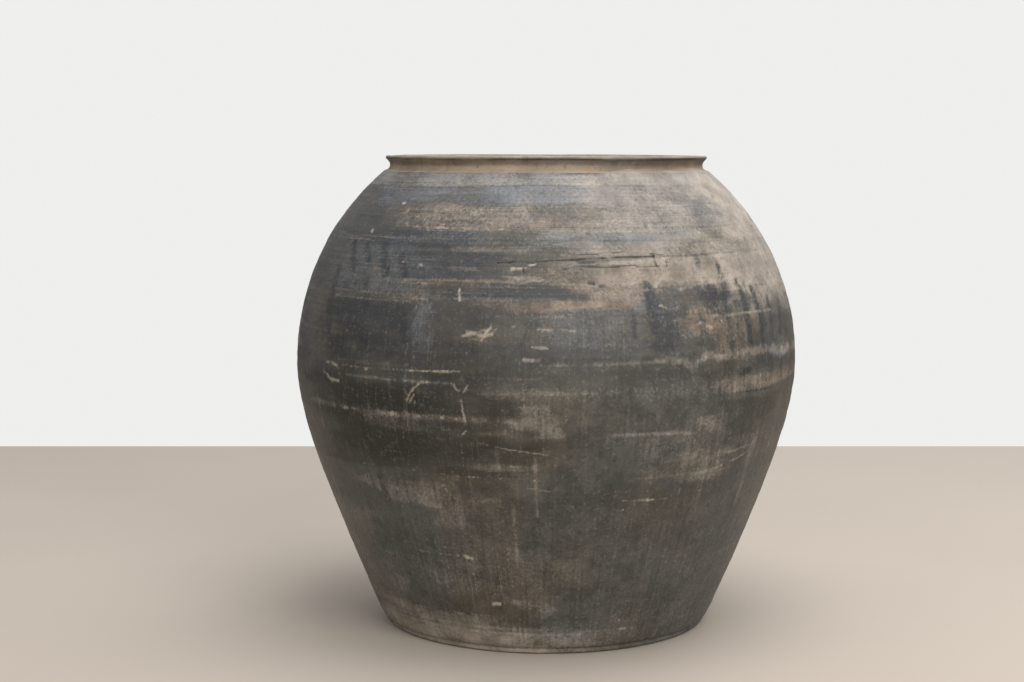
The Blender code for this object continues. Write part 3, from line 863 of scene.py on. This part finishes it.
class Nodes:
    """Short hand for the nodes of one material or world."""

    def __init__(self, owner):
        owner.use_nodes = True
        self.tree = owner.node_tree

    def feed(self, socket, value):
        if isinstance(value, bpy.types.NodeSocket):
            self.tree.links.new(value, socket)
        else:
            socket.default_value = value

    def add(self, kind, **inputs):
        node = self.tree.nodes.new("ShaderNode" + kind)
        for name, value in inputs.items():
            self.feed(node.inputs[name], value)
        return node

    def math(self, operation, *values):
        node = self.add("Math")
        node.operation = operation
        for socket, value in zip(node.inputs, values):
            self.feed(socket, value)
        return node.outputs[0]

    def total(self, first, *others):
        """Sum of the parts; each is a value and its weight."""
        result = self.math("MULTIPLY", *first)
        for part in others:
            result = self.math("ADD", result, self.math("MULTIPLY", *part))
        return result

    def mapped(self, value, low, high, to_low, to_high, kind="LINEAR"):
        node = self.add("MapRange")
        node.interpolation_type = kind
        for socket, number in zip(node.inputs, (value, low, high, to_low, to_high)):
            self.feed(socket, number)
        return node.outputs[0]

    def eased(self, value, low, high, to_low=0.0, to_high=1.0):
        return self.mapped(value, low, high, to_low, to_high, "SMOOTHSTEP")

    def mix(self, share, a, b):
        node = self.add("Mix")
        node.data_type = "RGBA"
        self.feed(node.inputs[0], share)
        for socket, colour in ((node.inputs[6], a), (node.inputs[7], b)):
            self.feed(socket, (*colour, 1.0) if isinstance(colour, tuple) else colour)
        return node.outputs[2]

    def noise(self, where, scale, detail, roughness):
        node = self.add("TexNoise", Vector=where, Scale=scale, Detail=detail, Roughness=roughness)
        return node.outputs[0]

    def stretched_noise(self, where, factors, detail, roughness):
        node = self.add("VectorMath")
        node.operation = "MULTIPLY"
        self.feed(node.inputs[0], where)
        self.feed(node.inputs[1], factors)
        return self.noise(node.outputs[0], 1.0, detail, roughness)

    def attribute(self, name, socket="Fac"):
        node = self.add("Attribute")
        node.attribute_name = name
        return node.outputs[socket]

    def place(self, kind="Object"):
        return self.add("TexCoord").outputs[kind]

    def upward(self, where):
        return self.add("SeparateXYZ", Vector=where).outputs[2]


SOOT = (0.021, 0.019, 0.013)
# soot with a painted blue sheen of the sky, used from the belly up and in the shoulder's wipes
SOOT_WITH_SKY_SHEEN = (0.031, 0.033, 0.036)
# pale blue-grey film colour, partly a painted sheen of the sky on the burnish
FILM_AND_SHEEN = (0.198, 0.209, 0.230)
SCUFF = (0.350, 0.298, 0.236)
RUST_DARK = (0.135, 0.098, 0.071)
RUST_LIGHT = (0.310, 0.230, 0.168)
CRACK = (0.009, 0.008, 0.007)
WARM = (1.14, 1.00, 0.80)
COOL = (0.93, 1.00, 1.05)


def tinted(dark, light, tint):
    return tuple(0.5 * (a + b) * c for a, b, c in zip(dark, light, tint))


def fired_clay(name, dark, light, tan_dark, tan_light, roughness, specular):
    """Smoke-fired clay: dark body, soot, pale film, worn tan, rusty patches, scuffs and cracks; the
    film and the bluer soot up high are partly a painted sheen.
    """
    material = bpy.data.materials.new(name)
    make = Nodes(material)
    shader = make.tree.nodes["Principled BSDF"]
    place = make.place()
    flatways = make.attribute("unrolled", "Vector")
    level = make.upward(place)
    # painted sky reflection: the share below blues the smoke from the belly up, where the wall faces
    # the sky
    sky_sheen_share = make.eased(level, 0.22, 0.33)  # the smoke is bluer from the belly up
    shoulder = make.eased(level, 0.29, 0.37)
    cone = make.math("SUBTRACT", 1.0, shoulder)
    broad = make.noise(place, 10, 4, 0.60)
    blotch = make.noise(place, 34, 6, 0.68)
    mottle = make.noise(place, 120, 5, 0.70)
    speck = make.noise(place, 400, 4, 0.72)
    grit = make.noise(place, 1500, 3, 0.6)
    wipe = make.stretched_noise(flatways, (8, 8, 520), 6, 0.66)
    streak = make.stretched_noise(flatways, (330, 330, 13), 5, 0.66)
    combed = make.total((wipe, shoulder), (streak, cone))
    fringe = make.math("SUBTRACT", make.total((speck, 0.6), (combed, 0.4)), 0.5)

    def broken_coat(coat, fray, low, high):
        """A painted coat, its edge frayed by the fringe and cleared of its faintest parts."""
        return make.eased(make.math("MULTIPLY_ADD", fringe, fray, make.attribute(coat)), low, high)

    def streaked(colour, pattern, area, other, low, high, most):
        """The colour with the other laid over by at most that much, where the pattern says."""
        share = make.math("MULTIPLY", make.eased(pattern, low, high, 0.0, most), area)
        return make.mix(share, colour, other)

    soot = broken_coat("soot", 1.1, 0.0, 0.96)
    haze = broken_coat("haze", 1.2, 0.0, 1.0)
    tan = broken_coat("tan", 1.4, 0.02, 0.98)
    rust = broken_coat("rust", 1.6, 0.02, 0.96)
    scuff = broken_coat("scuff", 1.7, 0.14, 0.98)
    crack = broken_coat("crack", 1.4, 0.15, 0.85)

    # clay, smoked, then wiped round the shoulder and streaked down the cone
    body = make.mix(make.eased(blotch, 0.39, 0.61), dark, light)
    tint = make.mix(make.eased(broad, 0.40, 0.60), tinted(dark, light, WARM), tinted(dark, light, COOL))
    smoke = make.mix(sky_sheen_share, SOOT, SOOT_WITH_SKY_SHEEN)
    colour = make.mix(soot, make.mix(0.5, body, tint), smoke)
    colour = streaked(colour, wipe, shoulder, tan_dark, 0.53, 0.74, 0.36)
    # the shoulder's dark wipes take the soot with its painted sky sheen
    colour = streaked(colour, wipe, shoulder, SOOT_WITH_SKY_SHEEN, 0.47, 0.28, 0.42)
    colour = streaked(colour, streak, cone, tan_dark, 0.53, 0.76, 0.23)
    colour = streaked(colour, streak, cone, SOOT, 0.47, 0.26, 0.28)
    # the coats that lie on the smoke; the pale blue-grey film is partly a painted sheen
    colour = make.mix(haze, colour, FILM_AND_SHEEN)
    colour = make.mix(tan, colour, make.mix(make.eased(blotch, 0.26, 0.70), tan_dark, tan_light))
    colour = make.mix(rust, colour, make.mix(make.eased(blotch, 0.36, 0.66), RUST_DARK, RUST_LIGHT))
    # mottling and specks, light and dark
    for pattern, low, high, most, other in (
        (mottle, 0.53, 0.72, 0.34, tan_dark), (mottle, 0.47, 0.30, 0.46, smoke),
        (speck, 0.55, 0.80, 0.26, tan_light), (speck, 0.46, 0.22, 0.46, CRACK),
    ):
        colour = make.mix(make.eased(pattern, low, high, 0.0, most), colour, other)
    colour = make.mix(crack, make.mix(scuff, colour, SCUFF), CRACK)
    make.feed(shader.inputs["Base Color"], colour)

    clay = make.eased(blotch, 0.30, 0.70, roughness - 0.08, roughness + 0.08)
    dull = make.math("MULTIPLY_ADD", tan, 0.12, clay)
    make.feed(shader.inputs["Roughness"], make.math("MULTIPLY_ADD", scuff, 0.18, dull))
    shader.inputs["Specular IOR Level"].default_value = specular

    streaks = make.math("MULTIPLY", streak, cone)
    wipes = make.math("MULTIPLY", wipe, shoulder)
    skin = make.total((speck, 0.9), (grit, 0.35), (streaks, 0.5), (wipes, 0.6), (crack, -0.8))
    bump = make.add("Bump", Strength=0.60, Distance=0.8 * MM, Height=skin)
    make.feed(shader.inputs["Normal"], bump.outputs[0])
    return material


# Each clay: name, body dark and light, worn dark and light, roughness, specular level
BURNISHED = fired_clay(
    "burnished_clay", (0.038, 0.036, 0.031), (0.100, 0.094, 0.081),
    (0.155, 0.127, 0.101), (0.385, 0.332, 0.275), 0.50, 0.34,
)
FOOT = fired_clay(
    "foot_clay", (0.060, 0.055, 0.047), (0.130, 0.118, 0.100),
    (0.170, 0.140, 0.110), (0.345, 0.292, 0.238), 0.60, 0.34,
)
NECK = fired_clay(
    "neck_clay", (0.235, 0.180, 0.128), (0.370, 0.292, 0.212),
    (0.280, 0.215, 0.155), (0.430, 0.345, 0.260), 0.62, 0.36,
)
RIM = fired_clay(
    "rim_clay", (0.150, 0.127, 0.100), (0.260, 0.222, 0.178),
    (0.210, 0.170, 0.130), (0.360, 0.300, 0.230), 0.60, 0.36,
)

finishes = {name: (BURNISHED, "burnished_clay") for name in COURSES}
finishes["base_slab"] = (FOOT, "foot_clay")
finishes["neck_collar"] = (NECK, "neck_clay")
finishes["rim_lip"] = (RIM, "rim_clay")

for node, (rows, ring) in member_rows().items():
    piece = build_member(node + "_surface", rows, ring)
    material, slot = finishes[node]
    piece.data.materials.append(material)
    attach(piece, "root")
    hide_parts(node)


# ---- Floor, light and camera ----

FLOOR_HALF = 1.05
FLOOR_DROP = 0.3 * MM
FLOOR_COLOUR = (0.40, 0.345, 0.290)
FLOOR_SHADE = 0.97  # its darker patches
CAMERA_PLACE = (-0.0335, -1.868, 0.474)
CAMERA_TILT = math.radians(83.99)
CAMERA_LENS = 65.74  # mm on a 36 mm wide sensor
CAMERA_SENSOR = 36.0

# Soft lamps: name, place, what it shines at, size, watts, colour
LAMPS = (
    ("key", (1.0, -2.3, 1.5), (0.0, 0.0, 0.22), 1.8, 46.0, (1.0, 0.985, 0.955)),
    ("top", (0.45, -0.25, 2.3), (0.0, 0.0, 0.3), 1.8, 34.0, (1.0, 1.0, 1.0)),
    ("back", (1.5, 1.7, 1.4), (0.0, 0.0, 0.25), 1.6, 9.0, (0.97, 0.985, 1.0)),
    ("low", (-0.9, -2.1, 0.22), (0.0, 0.0, 0.03), 1.0, 3.8, (1.0, 0.96, 0.90)),
)
SKY_LIGHT = (0.97, 0.98, 1.0, 1.0)
SKY_SEEN = (0.86, 0.86, 0.85, 1.0)
SKY_RISE = (-0.1, 0.9, 0.15, 1.05)  # between these heights its strength goes from third to fourth


def add_floor():
    s = FLOOR_HALF
    corners = [(-s, -s, -FLOOR_DROP), (s, -s, -FLOOR_DROP), (s, s, -FLOOR_DROP), (-s, s, -FLOOR_DROP)]
    mesh = bpy.data.meshes.new("floor")
    mesh.from_pydata(corners, [], [(0, 1, 2, 3)])
    floor = bpy.data.objects.new("floor", mesh)
    bpy.context.scene.collection.objects.link(floor)
    paint = bpy.data.materials.new("floor_paint")
    make = Nodes(paint)
    shader = make.tree.nodes["Principled BSDF"]
    patches = make.eased(make.noise(make.place(), 3.0, 3, 0.5), 0.3, 0.7)
    shade = tuple(FLOOR_SHADE * c for c in FLOOR_COLOUR)
    make.feed(shader.inputs["Base Color"], make.mix(patches, shade, FLOOR_COLOUR))
    shader.inputs["Roughness"].default_value = 0.75
    mesh.materials.append(paint)


def add_lamp(name, place, target, size, power, colour):
    lamp = bpy.data.lights.new(name, "AREA")
    lamp.shape = "DISK"
    lamp.size = size
    lamp.energy = power
    lamp.color = colour
    holder = bpy.data.objects.new(name, lamp)
    holder.location = place
    aim = np.array(target) - np.array(place)
    tilt = math.atan2(math.hypot(aim[0], aim[1]), -aim[2])
    holder.rotation_euler = (tilt, 0.0, math.atan2(aim[1], aim[0]) - math.pi / 2)
    bpy.context.scene.collection.objects.link(holder)


def add_world():
    """Pale surroundings, brighter overhead than at the sides; the camera sees them plain."""
    world = bpy.data.worlds.new("surroundings")
    make = Nodes(world)
    strength = make.mapped(make.upward(make.place("Generated")), *SKY_RISE)
    light = make.tree.nodes["Background"]
    make.feed(light.inputs["Color"], SKY_LIGHT)
    make.feed(light.inputs["Strength"], strength)
    seen = make.add("Background", Color=SKY_SEEN, Strength=1.0)
    mix = make.add("MixShader")
    sources = make.add("LightPath").outputs["Is Camera Ray"], light.outputs[0], seen.outputs[0]
    for socket, source in zip(mix.inputs, sources):
        make.feed(socket, source)
    make.feed(make.tree.nodes["World Output"].inputs[0], mix.outputs[0])
    bpy.context.scene.world = world


def add_camera():
    camera = bpy.data.cameras.new("view")
    camera.lens = CAMERA_LENS
    camera.sensor_width = CAMERA_SENSOR
    holder = bpy.data.objects.new("view", camera)
    holder.location = CAMERA_PLACE
    holder.rotation_euler = (CAMERA_TILT, 0.0, 0.0)
    bpy.context.scene.collection.objects.link(holder)
    bpy.context.scene.camera = holder


add_floor()
for lamp in LAMPS:
    add_lamp(*lamp)
add_world()
add_camera()
bpy.context.scene.view_settings.view_transform = "Standard"
